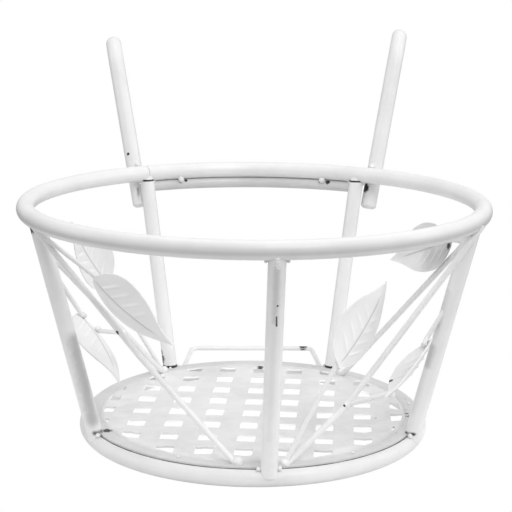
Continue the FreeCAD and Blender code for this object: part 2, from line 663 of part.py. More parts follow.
# Uprights: a tack on each side of the tube, under the top ring and on the plate.
AT_TOP = {
    "front_upright": [],
    "left_upright": ["front_left_stem", "front_left_stalk", "back_left_stem"],
    "right_upright": ["front_right_stem", "back_right_stem", "back_right_stalk"],
    "back_left_upright": ["back_brace", "left_hook"],
    "back_right_upright": ["back_brace", "right_hook"],
}
AT_FOOT = {
    "front_upright": ["front_right_stem", "front_right_stalk", "front_left_stem",
                      "front_right_stem_foot_bead", "front_left_stem_foot_bead"],
    "left_upright": [],
    "right_upright": [],
    "back_left_upright": ["back_left_stem", "back_left_stalk", "back_left_stem_foot_bead"],
    "back_right_upright": ["back_right_stem", "back_right_stem_foot_bead"],
}
top_beads, foot_beads = [], []
beside = size("upright_dia") / 2 + size("tack_rise")
for name, azimuth in UPRIGHTS:
    head, foot = upright_head(azimuth), upright_foot(azimuth)
    down = unit(foot - head)
    top_middle = head + down * (size("ring_tube") / 2 + size("tack_rise"))
    foot_middle = foot + down * size("tack_rise")
    for label, way in (("near", polar(1, azimuth + 90, 0)), ("far", polar(1, azimuth - 90, 0))):
        top_beads.append(bead("%s_top_%s" % (name, label), top_middle + way * beside, size("tack_weld"),
                              ["top_ring", name] + AT_TOP[name]))
        foot_beads.append(bead("%s_foot_%s" % (name, label), foot_middle + way * beside, size("tack_weld"),
                               ["base_ring", "base_plate", name] + AT_FOOT[name]))
weld_group("upright_top_welds", top_beads)
weld_group("upright_foot_welds", foot_beads)

leaf_beads = []
for name in LEAVES:
    holder = name.replace("leaf", "stalk")
    spot = leaf_place(name, size("leaf_lap") - size("leaf_weld"), stalk_depth(name))
    leaf_beads.append(bead(name + "_bead", spot, size("stalk_dia") / 2 + size("leaf_weld"), [holder, name]))
for holder, stem, leaf, distance in TWIGS:
    lift = Vector(0, 0, -TWIG_BEAD_LIFT * twig_side(stem_points[stem][1], leaf))
    spot = twig_ends[holder] + nodes[leaf].Placement.Rotation.multVec(lift)
    leaf_beads.append(bead(holder + "_bead", spot, size("stalk_dia") / 2 + size("leaf_weld"), [holder, leaf]))
weld_group("leaf_welds", leaf_beads)

spacer_beads = []
for label, foot, corner in (("left", left_foot, left_corner), ("right", right_foot, right_corner)):
    spot = foot + unit(corner - foot) * (size("base_tube") / 2)
    spacer_beads.append(bead("spacer_%s_bead" % label, spot, size("tack_weld"), ["base_ring", "rear_spacer"]))
weld_group("spacer_welds", spacer_beads)

tack_beads = []
for number in range(PLATE_TACKS):
    azimuth = FRONT + 360 / PLATE_TACKS * (number + 0.5)
    spot = polar(size("base_radius") - size("crotch_offset"), azimuth, PLATE_BOTTOM)
    tack_beads.append(bead("plate_tack_%d" % number, spot, size("tack_weld"), ["base_ring", "base_plate"]))
weld_group("plate_welds", tack_beads)

doc.recompute()

for item in doc.Objects:
    if "Invalid" in item.State or "Error" in item.State:
        raise RuntimeError("not built: %s %s" % (item.Name, item.State))
os.makedirs("parts", exist_ok=True)
for name, item in nodes.items():
    shape = item.Shape
    if shape.isNull() or not shape.isValid() or not shape.Solids:
        raise RuntimeError("bad shape: " + name)
    print("%-22s solids %d volume %.1f" % (name, len(shape.Solids), shape.Volume))
    shape.exportStep("parts/%s.step" % name)
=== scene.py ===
import math

import bmesh
import bpy
from mathutils import Matrix, Vector, noise
from mathutils.geometry import delaunay_2d_cdt


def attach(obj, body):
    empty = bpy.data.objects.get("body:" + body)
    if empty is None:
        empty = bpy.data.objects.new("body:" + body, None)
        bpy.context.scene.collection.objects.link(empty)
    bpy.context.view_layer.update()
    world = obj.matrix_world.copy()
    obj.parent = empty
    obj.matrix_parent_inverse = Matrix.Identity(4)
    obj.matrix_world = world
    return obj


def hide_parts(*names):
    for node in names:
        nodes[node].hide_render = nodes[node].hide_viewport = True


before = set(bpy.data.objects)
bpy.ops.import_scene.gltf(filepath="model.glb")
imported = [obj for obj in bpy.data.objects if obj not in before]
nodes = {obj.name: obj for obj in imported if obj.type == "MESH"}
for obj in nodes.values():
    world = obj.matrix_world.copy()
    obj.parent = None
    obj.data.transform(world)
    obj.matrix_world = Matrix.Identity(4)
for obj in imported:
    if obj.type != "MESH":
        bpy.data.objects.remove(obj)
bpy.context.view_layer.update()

scene = bpy.context.scene
MM = 0.001

# Studio: a plain white floor that runs out of sight, under soft light from above, the front and both sides.
# The camera stands a little above the top ring and looks down on the front of the rack. Sizes in metres; each
# light has its place, its width and its power in watts.
FLOOR_HALF = 40.0
FLOOR_NEAR, FLOOR_FAR = 0.85, 0.12
FLOOR_FADE = (0.15, 0.55)
FLOOR_GLOW = 1.1
GLOW_FADE = (0.10, 0.06)
FLOOR_ROUGHNESS = 0.9
ROOM_LIGHT = 0.645
LIGHTS = {
    "overhead_light": ((0.15, 0.10, 1.4), 1.2, 3.0),
    "front_light": ((0.6, -1.5, 1.8), 1.2, 21.0),
    "right_light": ((1.4, 0.0, 0.7), 1.0, 5.0),
    "left_light": ((-1.4, -0.1, 0.6), 1.0, 4.0),
}
LAMP_TARGET = Vector((0.0, 0.0, 0.08))
EYE = Vector((-0.0137, -0.7777, 0.2712))
LOOK_DOWN = math.radians(12.2)
LOOK_ASIDE = math.radians(1.09)
LEAN = 0.0078
LENS_MM = 96.66
SENSOR_MM = 36.0
NEAREST_SEEN = 0.01
MIX_UNDER, MIX_OVER, MIX_RESULT = 6, 7, 2  # places of the Mix node's colour sockets
MEASURES = ("LENGTH", "DISTANCE", "DOT_PRODUCT")  # vector operations that give a number


def link(name, data):
    obj = bpy.data.objects.new(name, data)
    scene.collection.objects.link(obj)
    return obj


def mesh_object(name, verts, faces):
    mesh = bpy.data.meshes.new(name)
    mesh.from_pydata([tuple(vert) for vert in verts], [], faces)
    mesh.update()
    return link(name, mesh)


def soft_light(name, place, size, power):
    data = bpy.data.lights.new(name, "AREA")
    data.shape = "DISK"
    data.size = size
    data.energy = power
    lamp = link(name, data)
    lamp.location = place
    lamp.rotation_euler = (LAMP_TARGET - Vector(place)).to_track_quat("-Z", "Y").to_euler()


def tone(grey):
    """Colour without a hue."""
    return (grey, grey, grey, 1.0)


def new_node(tree, kind, **settings):
    node = tree.nodes.new(kind)
    for name, value in settings.items():
        setattr(node, name, value)
    return node


def feed(tree, socket, value):
    """Gives a node's input the output of another node, or a fixed value."""
    if isinstance(value, bpy.types.NodeSocket):
        tree.links.new(value, socket)
    else:
        socket.default_value = value


def place_on_rack(tree):
    """The place in the rack's frame that is being painted."""
    return new_node(tree, "ShaderNodeTexCoord").outputs["Object"]


def vectors(tree, operation, *values):
    """Result of a Vector Math node: a number for a measure, or else a vector."""
    node = new_node(tree, "ShaderNodeVectorMath", operation=operation)
    for socket, value in zip(node.inputs, values):
        feed(tree, socket, value)
    return node.outputs["Value" if operation in MEASURES else "Vector"]


def ramp(tree, value, start, end, low=0.0, high=1.0, kind="LINEAR"):
    """Goes from low, where the value is at start, to high, where it is at end."""
    node = new_node(tree, "ShaderNodeMapRange", interpolation_type=kind)
    given = {"Value": value, "From Min": start, "From Max": end, "To Min": low, "To Max": high}
    for label, number in given.items():
        feed(tree, node.inputs[label], number)
    return node.outputs["Result"]


def mixed(tree, share, under, over, blend="MIX"):
    """Colour that goes from the one under to the one over it as the share goes from 0 to 1."""
    node = new_node(tree, "ShaderNodeMix", data_type="RGBA", blend_type=blend)
    feed(tree, node.inputs["Factor"], share)
    feed(tree, node.inputs[MIX_UNDER], under)
    feed(tree, node.inputs[MIX_OVER], over)
    return node.outputs[MIX_RESULT]


WHITE = tone(1.0)
level_way = Vector((math.sin(LOOK_ASIDE), math.cos(LOOK_ASIDE), 0.0))
forward = level_way * math.cos(LOOK_DOWN) - Vector((0.0, 0.0, math.sin(LOOK_DOWN)))
level_right = Vector((math.cos(LOOK_ASIDE), -math.sin(LOOK_ASIDE), 0.0))
level_up = level_right.cross(forward)
right = level_right * math.cos(LEAN) + level_up * math.sin(LEAN)
up = level_up * math.cos(LEAN) - level_right * math.sin(LEAN)
camera_data = bpy.data.cameras.new("camera")
camera_data.lens = LENS_MM
camera_data.sensor_width = SENSOR_MM
camera_data.clip_start = NEAREST_SEEN
camera = link("camera", camera_data)
turn = Matrix((right, up, -forward)).transposed()
camera.matrix_world = Matrix.Translation(EYE) @ turn.to_4x4()
scene.camera = camera

for name, (place, size, power) in LIGHTS.items():
    soft_light(name, place, size, power)
world = bpy.data.worlds.new("white_room")
world.use_nodes = True
world.node_tree.nodes["Background"].inputs["Color"].default_value = WHITE
world.node_tree.nodes["Background"].inputs["Strength"].default_value = ROOM_LIGHT
scene.world = world
scene.view_settings.view_transform = "Standard"

floor = mesh_object("floor", [(-FLOOR_HALF, -FLOOR_HALF, 0), (FLOOR_HALF, -FLOOR_HALF, 0),
                              (FLOOR_HALF, FLOOR_HALF, 0), (-FLOOR_HALF, FLOOR_HALF, 0)], [(0, 1, 2, 3)])
paper = bpy.data.materials.new("white_paper")
paper.use_nodes = True
paper_tree = paper.node_tree
paper_shader = paper_tree.nodes["Principled BSDF"]
from_middle = vectors(paper_tree, "LENGTH", place_on_rack(paper_tree))
paper_tone = mixed(paper_tree, ramp(paper_tree, from_middle, *FLOOR_FADE), tone(FLOOR_NEAR), tone(FLOOR_FAR))
feed(paper_tree, paper_shader.inputs["Base Color"], paper_tone)
feed(paper_tree, paper_shader.inputs["Roughness"], FLOOR_ROUGHNESS)
feed(paper_tree, paper_shader.inputs["Emission Color"], ramp(paper_tree, from_middle, *GLOW_FADE))
feed(paper_tree, paper_shader.inputs["Emission Strength"], FLOOR_GLOW)
paper_seen = new_node(paper_tree, "ShaderNodeEmission")
feed(paper_tree, paper_seen.inputs["Color"], WHITE)
paper_rays = new_node(paper_tree, "ShaderNodeLightPath")
paper_mix = new_node(paper_tree, "ShaderNodeMixShader")
feed(paper_tree, paper_mix.inputs["Fac"], paper_rays.outputs["Is Camera Ray"])
feed(paper_tree, paper_mix.inputs[1], paper_shader.outputs["BSDF"])
feed(paper_tree, paper_mix.inputs[2], paper_seen.outputs["Emission"])
feed(paper_tree, paper_tree.nodes["Material Output"].inputs["Surface"], paper_mix.outputs["Shader"])
floor.data.materials.append(paper)

# Top ring: iron tube rolled into a hoop, its ends butted at the back left, under white enamel brushed on.
# The paint is a little uneven, and a grey band of painted shade runs along the outside; other pieces also
# have chips worn down to dark iron, and dark spots and streaks, some of them painted shade. Sizes in mm.
RING_RADIUS = 130.0
RING_HEIGHT = 134.0
PAINT_WHITE, PAINT_GREY = 0.82, 0.75
PAINT_ROUGHNESS = (0.34, 0.50)
PAINT_BUMP = 0.06
DARK_IRON_AND_SHADE = (0.012, 0.011, 0.011, 1.0)
TONE_FADE = (0.35, 0.75)
LUMPS_TO_BRUSHING = 3.0
CHIP_FINENESS = 260.0
CHIP_SHARE = 0.1
NO_CHIPS = -0.1
NO_CHIP_EDGE, FULL_CHIP_STEP = 0.50, -0.25
CHIP_SOFTNESS = 0.02
SPOT_FADE = (1.6, 1.2)
STREAK_FADE = (1.25, 0.30)
STREAK_RAGGEDNESS = 0.5
LEVEL_ONLY = (1.0, 1.0, 0.0)
SHADE_BAND_GREY = 0.75
SHADE_BAND_UPPER_FADE = (RING_HEIGHT + 4.5, RING_HEIGHT - 1.2)
SHADE_BAND_LOWER_FADE = (RING_HEIGHT - 2.7, RING_HEIGHT - 1.3)
SHADE_BAND_OUTER_FADE = (RING_RADIUS - 2.0, RING_RADIUS + 1.0)


def sums(tree, operation, *values, clamp=False):
    """Result of a Math node."""
    node = new_node(tree, "ShaderNodeMath", operation=operation, use_clamp=clamp)
    for socket, value in zip(node.inputs, values):
        feed(tree, socket, value)
    return node.outputs[0]


def rough_noise(tree, place, scale, detail, roughness):
    node = new_node(tree, "ShaderNodeTexNoise")
    given = {"Vector": place, "Scale": scale, "Detail": detail, "Roughness": roughness}
    for label, value in given.items():
        feed(tree, node.inputs[label], value)
    return node.outputs["Fac"]


def radius_and_height(tree, place):
    """How far a place is from the rings' axis, and how high."""
    parts = new_node(tree, "ShaderNodeSeparateXYZ")
    feed(tree, parts.inputs[0], place)
    return vectors(tree, "LENGTH", vectors(tree, "MULTIPLY", place, LEVEL_ONLY)), parts.outputs["Z"]


def new_group(name, places, numbers, masks):
    """Empty node group; returns its tree, the places and numbers that it gets and the masks that it gives."""
    tree = bpy.data.node_groups.new(name, "ShaderNodeTree")
    for label in places:
        tree.interface.new_socket(label, in_out="INPUT", socket_type="NodeSocketVector")
    for label in numbers:
        tree.interface.new_socket(label, in_out="INPUT", socket_type="NodeSocketFloat")
    for label in masks:
        tree.interface.new_socket(label, in_out="OUTPUT", socket_type="NodeSocketFloat")
    return tree, new_node(tree, "NodeGroupInput").outputs, new_node(tree, "NodeGroupOutput").inputs


def use_group(tree, group, values):
    """Puts a node group into a tree, with its values; returns its outputs."""
    node = new_node(tree, "ShaderNodeGroup", node_tree=group)
    for label, value in values.items():
        feed(tree, node.inputs[label], value)
    return node.outputs


def uneven_paint_group():
    """Masks of the paint's unevenness and its chips, and the height of its brushed film."""
    tree, gets, gives = new_group("uneven_paint", [], ["Chip Fineness", "Chip Share"],
                                  ["Tone", "Chip", "Height"])
    place = place_on_rack(tree)
    clouds = rough_noise(tree, place, scale=38.0, detail=4.0, roughness=0.6)
    specks = rough_noise(tree, place, scale=gets["Chip Fineness"], detail=3.0, roughness=0.6)
    fields = rough_noise(tree, place, scale=17.0, detail=2.0, roughness=0.5)
    brushed = rough_noise(tree, place, scale=420.0, detail=3.0, roughness=0.55)
    lumps = rough_noise(tree, place, scale=90.0, detail=2.0, roughness=0.5)
    chip_edge = sums(tree, "MULTIPLY_ADD", gets["Chip Share"], FULL_CHIP_STEP, NO_CHIP_EDGE)
    chip_inside = sums(tree, "ADD", chip_edge, CHIP_SOFTNESS)
    chip = ramp(tree, sums(tree, "MULTIPLY", specks, fields), chip_edge, chip_inside)
    film = sums(tree, "MULTIPLY_ADD", lumps, LUMPS_TO_BRUSHING, brushed)
    feed(tree, gives["Tone"], ramp(tree, clouds, *TONE_FADE))
    feed(tree, gives["Chip"], chip)
    feed(tree, gives["Height"], sums(tree, "SUBTRACT", film, chip))
    return tree


def wear_and_shadow_spot_group():
    """Mask of one ragged dark spot round a place on the rack: worn iron in most places, a painted shadow in
    some.
    """
    tree, gets, gives = new_group("wear_and_shadow_spot", ["Place"], ["Reach"], ["Mask"])
    place = place_on_rack(tree)
    ragged = rough_noise(tree, place, scale=700.0, detail=3.0, roughness=0.6)
    share = sums(tree, "DIVIDE", vectors(tree, "DISTANCE", place, gets["Place"]), gets["Reach"])
    feed(tree, gives["Mask"], ramp(tree, sums(tree, "ADD", share, ragged), *SPOT_FADE))
    return tree


def streak_group():
    """Mask of a soft mark along a line from one place on the rack to another."""
    tree, gets, gives = new_group("streak", ["From", "To"], ["Reach", "Strength"], ["Mask"])
    place = place_on_rack(tree)
    ragged = rough_noise(tree, place, scale=300.0, detail=3.0, roughness=0.6)
    line = vectors(tree, "SUBTRACT", gets["To"], gets["From"])
    here = vectors(tree, "SUBTRACT", place, gets["From"])
    along, whole = vectors(tree, "DOT_PRODUCT", here, line), vectors(tree, "DOT_PRODUCT", line, line)
    nearest = vectors(tree, "MULTIPLY", line, sums(tree, "DIVIDE", along, whole, clamp=True))
    share = sums(tree, "DIVIDE", vectors(tree, "DISTANCE", here, nearest), gets["Reach"])
    broken = sums(tree, "MULTIPLY_ADD", ragged, STREAK_RAGGEDNESS, share)
    soft = ramp(tree, broken, *STREAK_FADE, kind="SMOOTHSTEP")
    feed(tree, gives["Mask"], sums(tree, "MULTIPLY", soft, gets["Strength"]))
    return tree


uneven_paint = uneven_paint_group()
wear_and_shadow_spot = wear_and_shadow_spot_group()
streak = streak_group()


def enamel(name, white=PAINT_WHITE, grey=PAINT_GREY, chip_fineness=CHIP_FINENESS, chip_share=CHIP_SHARE,
           bump=PAINT_BUMP, spots=(), streaks=()):
    """White enamel with chips worn down to the iron, and dark spots and streaks, some of which are painted
    shade.
    Sizes in mm: spots are (place, reach), and streaks (from, to, reach, strength)."""
    material = bpy.data.materials.new(name)
    material.use_nodes = True
    tree = material.node_tree
    shader = tree.nodes["Principled BSDF"]
    paint = use_group(tree, uneven_paint, {"Chip Fineness": chip_fineness, "Chip Share": chip_share})
    bare_and_shaded = paint["Chip"]
    for place, reach in spots:
        marks = use_group(tree, wear_and_shadow_spot, {"Place": Vector(place) * MM, "Reach": reach * MM})
        bare_and_shaded = sums(tree, "MAXIMUM", bare_and_shaded, marks["Mask"])
    for start, end, reach, strength in streaks:
        marks = use_group(tree, streak, {"From": Vector(start) * MM, "To": Vector(end) * MM,
                                         "Reach": reach * MM, "Strength": strength})
        bare_and_shaded = sums(tree, "MAXIMUM", bare_and_shaded, marks["Mask"])
    coat = mixed(tree, paint["Tone"], tone(white), tone(grey))
    feed(tree, shader.inputs["Base Color"], mixed(tree, bare_and_shaded, coat, DARK_IRON_AND_SHADE))
    feed(tree, shader.inputs["Roughness"], ramp(tree, paint["Tone"], 0.0, 1.0, *PAINT_ROUGHNESS))
    relief = new_node(tree, "ShaderNodeBump")
    feed(tree, relief.inputs["Strength"], 1.0)
    feed(tree, relief.inputs["Distance"], bump * MM)
    feed(tree, relief.inputs["Height"], paint["Height"])
    feed(tree, shader.inputs["Normal"], relief.outputs["Normal"])
    return material


def lay_over(material, share, colour, blend="MIX"):
    """Lays a colour over the material's paint where the share is full."""
    tree = material.node_tree
    paint = tree.nodes["Principled BSDF"].inputs["Base Color"]
    feed(tree, paint, mixed(tree, share, paint.links[0].from_socket, colour, blend))


def dress(node, material):
    """Paints a solid of the frame as it stands."""
    mesh = nodes[node].data
    mesh.materials.clear()
    mesh.materials.append(material)
    mesh.polygons.foreach_set("use_smooth", [True] * len(mesh.polygons))


def in_metres(sizes):
    return [size * MM for size in sizes]


ring_enamel = enamel("ring_enamel", chip_share=NO_CHIPS)
ring_tree = ring_enamel.node_tree
ring_radius, ring_level = radius_and_height(ring_tree, place_on_rack(ring_tree))
# Painted shade: a grey band round the outside of the ring, a little below its middle.
below_top = ramp(ring_tree, ring_level, *in_metres(SHADE_BAND_UPPER_FADE))
over_bottom = ramp(ring_tree, ring_level, *in_metres(SHADE_BAND_LOWER_FADE))
outside = ramp(ring_tree, ring_radius, *in_metres(SHADE_BAND_OUTER_FADE))
band = sums(ring_tree, "MULTIPLY", sums(ring_tree, "MULTIPLY", below_top, over_bottom), outside)
lay_over(ring_enamel, band, tone(SHADE_BAND_GREY), blend="MULTIPLY")
dress("top_ring", ring_enamel)

# Base ring: a smaller hoop of the same tube, which the rack stands on. Its enamel is greyer as painted shade,
# and a thin dark line of painted shade runs where the plate's edge lies on it. Sizes in mm.
BASE_SHADED_WHITE, BASE_SHADED_GREY = 0.75, 0.68
EDGE_LINE = 97.9
EDGE_LINE_HEIGHT = 9.9
EDGE_LINE_WIDTH = 0.34
EDGE_LINE_FADE = (1.7, 1.2)


def flat_place(tree, x, y):
    node = new_node(tree, "ShaderNodeCombineXYZ")
    feed(tree, node.inputs["X"], x)
    feed(tree, node.inputs["Y"], y)
    return node.outputs["Vector"]


def joint_line_group():
    """Mask of a ragged dark line that runs round the rack at a radius and a height."""
    tree, gets, gives = new_group("joint_line", [], ["Radius", "Height", "Width"], ["Mask"])
    place = place_on_rack(tree)
    ragged = rough_noise(tree, place, scale=160.0, detail=4.0, roughness=0.6)
    here = flat_place(tree, *radius_and_height(tree, place))
    line = flat_place(tree, gets["Radius"], gets["Height"])
    share = sums(tree, "DIVIDE", vectors(tree, "DISTANCE", here, line), gets["Width"])
    feed(tree, gives["Mask"], ramp(tree, sums(tree, "ADD", share, ragged), *EDGE_LINE_FADE))
    return tree


# Painted shade: a greyer enamel, and a thin dark line round the ring under the plate's edge.
base_enamel = enamel("base_ring_enamel", white=BASE_SHADED_WHITE, grey=BASE_SHADED_GREY, chip_share=NO_CHIPS)
edge_shade_line = use_group(base_enamel.node_tree, joint_line_group(), {
    "Radius": EDGE_LINE * MM, "Height": EDGE_LINE_HEIGHT * MM, "Width": EDGE_LINE_WIDTH * MM,
})
lay_over(base_enamel, edge_shade_line["Mask"], DARK_IRON_AND_SHADE)
dress("base_ring", base_enamel)

# Base plate: thin sheet pressed into a basket weave with square holes, and left flat in a rim outside a
# pressed line. It is tacked on the base ring; the weave is dented near the rim. Sizes in mm.
PLATE_TOP = 11.05
PLATE_SHEET = 1.0
PLATE_EDGE = 97.5
WEAVE_EDGE = 88.0
PRESSED_LINE = 89.8
RIM_STEPS = (88.9, 89.3, 89.6, 89.8, 90.0, 90.3, 90.8, 92.0, 93.8, 95.6)
RIM_SIDES = 480
HOLE = 10.0
PITCH = 21.5
HOLES_FROM_MIDDLE = 4
WEAVE_TURN = math.radians(-4.8)
WEAVE_SHIFT = Vector((-0.9, -10.8))
HOLE_CELLS = 7
STRIP_CELLS = 8
WEAVE_RISE = 0.10
STRIP_CROWN = 0.10
WEAVE_FADE = (WEAVE_EDGE - 6.0, WEAVE_EDGE + 1.0)
DENT_DEPTH = 0.75
DENT_SIZE = 8.0
DENT_SLICE = 3.7
FINE_DENT_SHARE = 0.5
FINE_DENT_SIZE = DENT_SIZE / 2.1
FINE_DENT_SLICE = 8.2
DENT_START_FADE = (62.0, 76.0)
DENT_END_FADE = (WEAVE_EDGE - 1.0, PRESSED_LINE)
LINE_DEPTH = 0.45
LINE_HALF = 0.45
LEAST_HOLE = 3.0
HOLE_SLACK = 0.01
GRID_SLACK = 0.3
SAME_POINT = 1e-4
SAME_PLACE_DIGITS = 2
SHARP_EDGE = math.radians(40)
PLATE_WHITE, PLATE_GREY = 0.79, 0.66
PLATE_CHIPS = 0.12
PLATE_SPOTS = [((-82.5, -41.0, 11.0), 3.0), ((5.9, 81.1, 11.0), 2.2)]
RIM_SHADE_GREY = 0.86
RIM_SHADE_FADE = (WEAVE_EDGE, PRESSED_LINE + 1.0)


def to_rack(x, y):
    """From the weave's own grid to the rack's frame."""
    return Vector((x * math.cos(WEAVE_TURN) - y * math.sin(WEAVE_TURN),
                   x * math.sin(WEAVE_TURN) + y * math.cos(WEAVE_TURN))) + WEAVE_SHIFT


def to_weave(place):
    """From the rack's frame to the weave's own grid."""
    x, y = place[0] - WEAVE_SHIFT.x, place[1] - WEAVE_SHIFT.y
    return (x * math.cos(WEAVE_TURN) + y * math.sin(WEAVE_TURN),
            -x * math.sin(WEAVE_TURN) + y * math.cos(WEAVE_TURN))


def fade(value, start, end):
    """Smooth change from 0 at start to 1 at end."""
    share = min(1.0, max(0.0, (value - start) / (end - start)))
    return share * share * (3 - 2 * share)


def in_hole(place):
    """Whether a place is inside one of the plate's holes, and not on its edge."""
    column, row = (value / PITCH for value in to_weave(place))
    near = max(abs(column - round(column)), abs(row - round(row))) * PITCH < HOLE / 2 - HOLE_SLACK
    counted = max(abs(round(column)), abs(round(row))) <= HOLES_FROM_MIDDLE
    return near and counted and math.hypot(place[0], place[1]) < WEAVE_EDGE - HOLE_SLACK


def cut_by_line(corners, way, limit):
    """The part of a polygon on the near side of a straight line."""
    kept = []
    for start, end in zip(corners, corners[1:] + corners[:1]):
        before, after = limit - start.dot(way), limit - end.dot(way)
        if before >= 0:
            kept.append(start)
        if before * after < 0:
            kept.append(start.lerp(end, before / (before - after)))
    return kept


def area(corners):
    return abs(sum(start.cross(end) for start, end in zip(corners, corners[1:] + corners[:1]))) / 2


def hole_outline(column, row):
    """Outline of one hole, cut off where the flat rim begins."""
    middle_x, middle_y = column * PITCH, row * PITCH
    steps = [-HOLE / 2 + HOLE * step / HOLE_CELLS for step in range(HOLE_CELLS)]
    sides = [[(step, -HOLE / 2) for step in steps], [(HOLE / 2, step) for step in steps],
             [(-step, HOLE / 2) for step in steps], [(-HOLE / 2, -step) for step in steps]]
    corners = [to_rack(middle_x + x, middle_y + y) for side in sides for x, y in side]
    if max(corner.length for corner in corners) > WEAVE_EDGE:
        for side in range(RIM_SIDES // 2):
            angle = 2 * math.pi * side / (RIM_SIDES // 2)
            corners = cut_by_line(corners, Vector((math.cos(angle), math.sin(angle))), WEAVE_EDGE)
    return corners


def plate_height(x, y):
    """Height of the pressed sheet's upper face over the flat rim."""
    radius = math.hypot(x, y)
    column, row = (value / PITCH for value in to_weave((x, y)))
    across_row = (row - math.floor(row) - 0.5) * PITCH / (PITCH - HOLE) * 2
    across_column = (column - math.floor(column) - 0.5) * PITCH / (PITCH - HOLE) * 2
    strips = []
    if abs(across_row) <= 1.0:
        over = (-1) ** math.floor(row) * math.cos(math.pi * (column - 0.5))
        strips.append(WEAVE_RISE * over + STRIP_CROWN * (1 - across_row ** 2))
    if abs(across_column) <= 1.0:
        over = -(-1) ** math.floor(column) * math.cos(math.pi * (row - 0.5))
        strips.append(WEAVE_RISE * over + STRIP_CROWN * (1 - across_column ** 2))
    weave = max(strips) if strips else 0.0
    dents = noise.noise(Vector((x / DENT_SIZE, y / DENT_SIZE, DENT_SLICE)))
    dents += FINE_DENT_SHARE * noise.noise(Vector((x / FINE_DENT_SIZE, y / FINE_DENT_SIZE, FINE_DENT_SLICE)))
    inside = 1 - fade(radius, *WEAVE_FADE)
    dented = fade(radius, *DENT_START_FADE) * (1 - fade(radius, *DENT_END_FADE))
    line = math.exp(-((radius - PRESSED_LINE) / LINE_HALF) ** 2)
    return weave * inside + DENT_DEPTH * dents * dented - LINE_DEPTH * line


def rounded(point):
    return round(point.x, SAME_PLACE_DIGITS), round(point.y, SAME_PLACE_DIGITS)


def plate_flat_mesh():
    """Points and triangles of the flat plate with its holes left out."""
    points, edges = [], []

    def add_loop(loop):
        first = len(points)
        points.extend(loop)
        edges.extend((first + number, first + (number + 1) % len(loop)) for number in range(len(loop)))

    for radius in (*RIM_STEPS, PLATE_EDGE):
        turns = [2 * math.pi * side / RIM_SIDES for side in range(RIM_SIDES)]
        add_loop([Vector((radius * math.cos(turn), radius * math.sin(turn))) for turn in turns])
    span = range(-HOLES_FROM_MIDDLE, HOLES_FROM_MIDDLE + 1)
    for column in span:
        for row in span:
            corners = hole_outline(column, row)
            if len(corners) > 2 and area(corners) > LEAST_HOLE:
                add_loop(corners)
    lines = []
    for number in range(-HOLES_FROM_MIDDLE - 2, HOLES_FROM_MIDDLE + 2):
        start = number * PITCH - HOLE / 2
        lines += [start + HOLE * cell / HOLE_CELLS for cell in range(HOLE_CELLS)]
        lines += [start + HOLE + (PITCH - HOLE) * cell / STRIP_CELLS for cell in range(STRIP_CELLS)]
    edge_points = {rounded(point) for point in points}
    for x in lines:
        for y in lines:
            place = to_rack(x, y)
            taken = rounded(place) in edge_points
            if place.length < WEAVE_EDGE + GRID_SLACK and not taken and not in_hole(place):
                points.append(place)
    verts, _, faces, *_ = delaunay_2d_cdt(points, edges, [], 0, SAME_POINT)
    kept = []
    for face in faces:
        middle = sum((verts[number] for number in face), Vector((0.0, 0.0))) / len(face)
        if not in_hole(middle):
            kept.append(list(face))
    return verts, kept


def thick_sheet(name, upper, lower, faces):
    """Sheet between two layers of points with the same faces, closed along its edges."""
    count = len(upper)
    sides = {}
    for face in faces:
        for start, end in zip(face, face[1:] + face[:1]):
            if (end, start) in sides:
                del sides[(end, start)]
            else:
                sides[(start, end)] = True
    under = [[number + count for number in reversed(face)] for face in faces]
    walls = [[end, start, start + count, end + count] for start, end in sides]
    obj = mesh_object(name, [point * MM for point in upper + lower], faces + under + walls)
    cleaner = bmesh.new()
    cleaner.from_mesh(obj.data)
    loose = [vert for vert in cleaner.verts if not vert.link_faces]
    bmesh.ops.delete(cleaner, geom=loose, context="VERTS")
    bmesh.ops.recalc_face_normals(cleaner, faces=cleaner.faces)
    for edge in cleaner.edges:
        edge.smooth = edge.calc_face_angle(0.0) < SHARP_EDGE
    for face in cleaner.faces:
        face.smooth = True
    cleaner.to_mesh(obj.data)
    cleaner.free()
    return obj


flat_points, plate_faces = plate_flat_mesh()
plate_upper = [Vector((x, y, PLATE_TOP + plate_height(x, y))) for x, y in flat_points]
plate_lower = [point - Vector((0.0, 0.0, PLATE_SHEET)) for point in plate_upper]
pressed_plate = thick_sheet("pressed_plate", plate_upper, plate_lower, plate_faces)
plate_enamel = enamel("plate_enamel", white=PLATE_WHITE, grey=PLATE_GREY, chip_share=PLATE_CHIPS,
                      spots=PLATE_SPOTS)
plate_tree = plate_enamel.node_tree
plate_reach = vectors(plate_tree, "LENGTH", place_on_rack(plate_tree))
# Painted shade: the flat rim outside the pressed line is greyed.
lay_over(plate_enamel, ramp(plate_tree, plate_reach, *in_metres(RIM_SHADE_FADE)), tone(RIM_SHADE_GREY), blend="MULTIPLY")
pressed_plate.data.materials.append(plate_enamel)
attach(pressed_plate, "root")
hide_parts("base_plate")

# Uprights: five straight tubes that lean outwards, coped to the rings and tacked to them. The back uprights
# have dark bands of painted shade in the corners at their ends; the other uprights have soft streaks of
# painted shade along them, and a few worn marks. Sizes in mm.
FOOT_SHADE = 1.5
HEAD_LINE = 130.0
HEAD_SHADE = 0.6
CORNER_SHADE_FADE = (1.6, 1.3)
FRONT_UPRIGHT_SPOTS = [((9.4, -127.2, 105.6), 0.6)]
